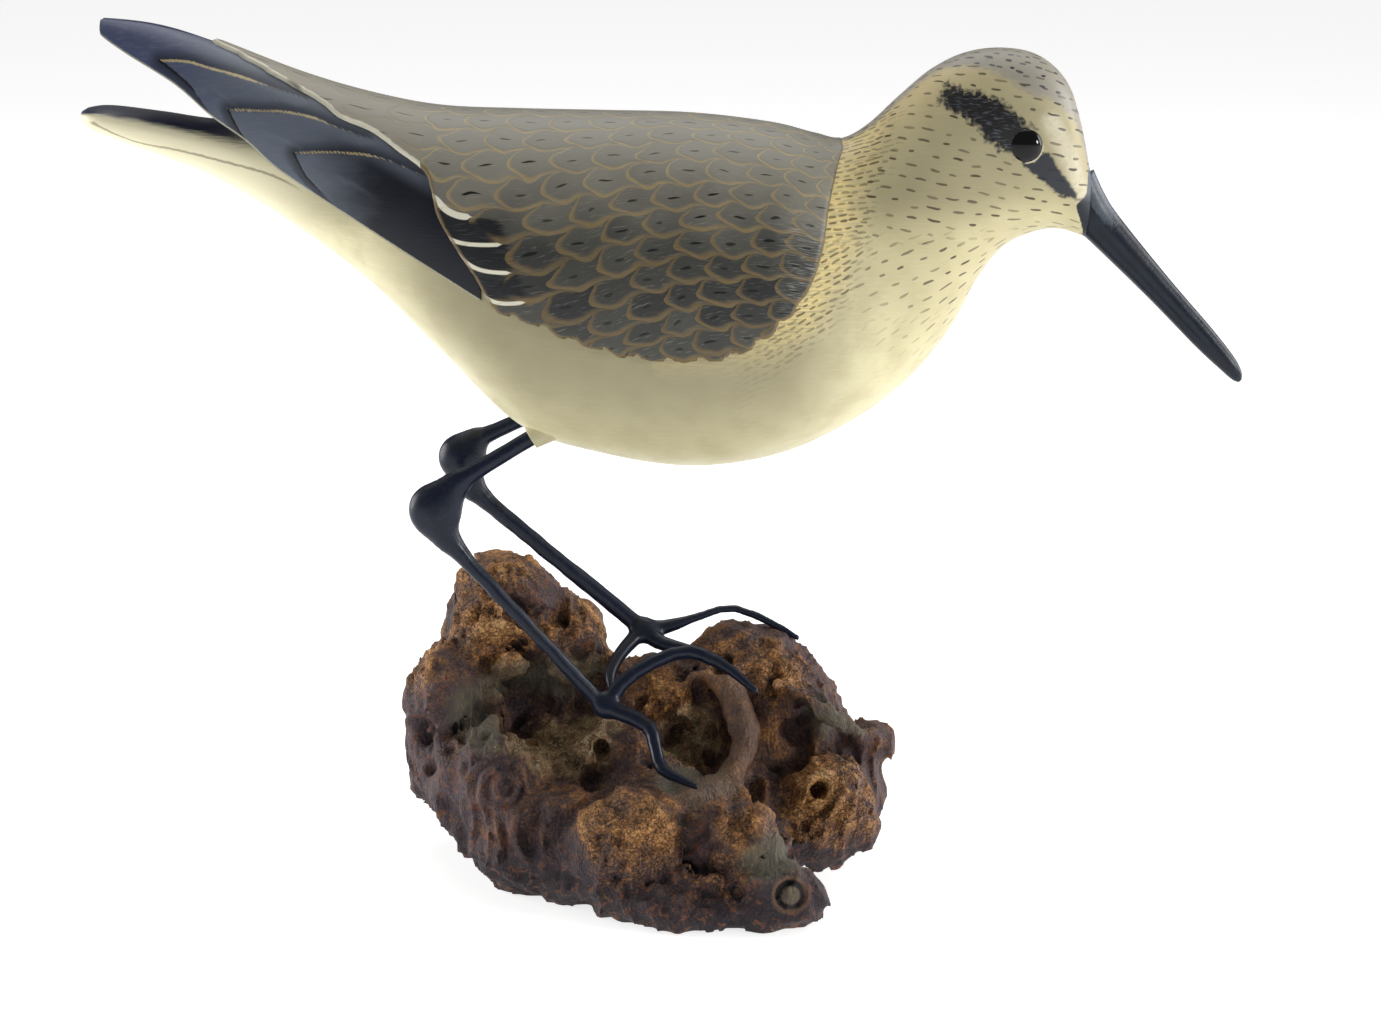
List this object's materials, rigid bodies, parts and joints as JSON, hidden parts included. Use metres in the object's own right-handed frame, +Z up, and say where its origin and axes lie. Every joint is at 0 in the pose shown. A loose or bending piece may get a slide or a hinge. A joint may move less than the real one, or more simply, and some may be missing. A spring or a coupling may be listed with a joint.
{
  "type": "shorebird decoy",
  "caption": "Life-size carved and painted shorebird on bent legs, head low and bill pointing down, standing on a gnarled root burl base.",
  "frame": {"origin": "middle of the burl base's flat underside, on the surface that it stands on", "axes": "+X towards the bill, the bird's right side faces -Y, +Z up"},
  "size_m": [0.3247, 0.11, 0.2458],
  "materials": {
    "painted_plumage": "oil painted plumage with a soft satin varnish",
    "dark_paint": "blue-black satin paint",
    "eye_glass": "polished black glass",
    "root_burl": "natural root burl, lightly oiled"
  },
  "bodies": {
    "root": {"carved_body": "painted_plumage", "bill": "dark_paint", "eye_right": "eye_glass", "eye_left": "eye_glass", "leg_right": "dark_paint", "leg_left": "dark_paint", "burl_base": "root_burl"}
  },
  "joints": []
}
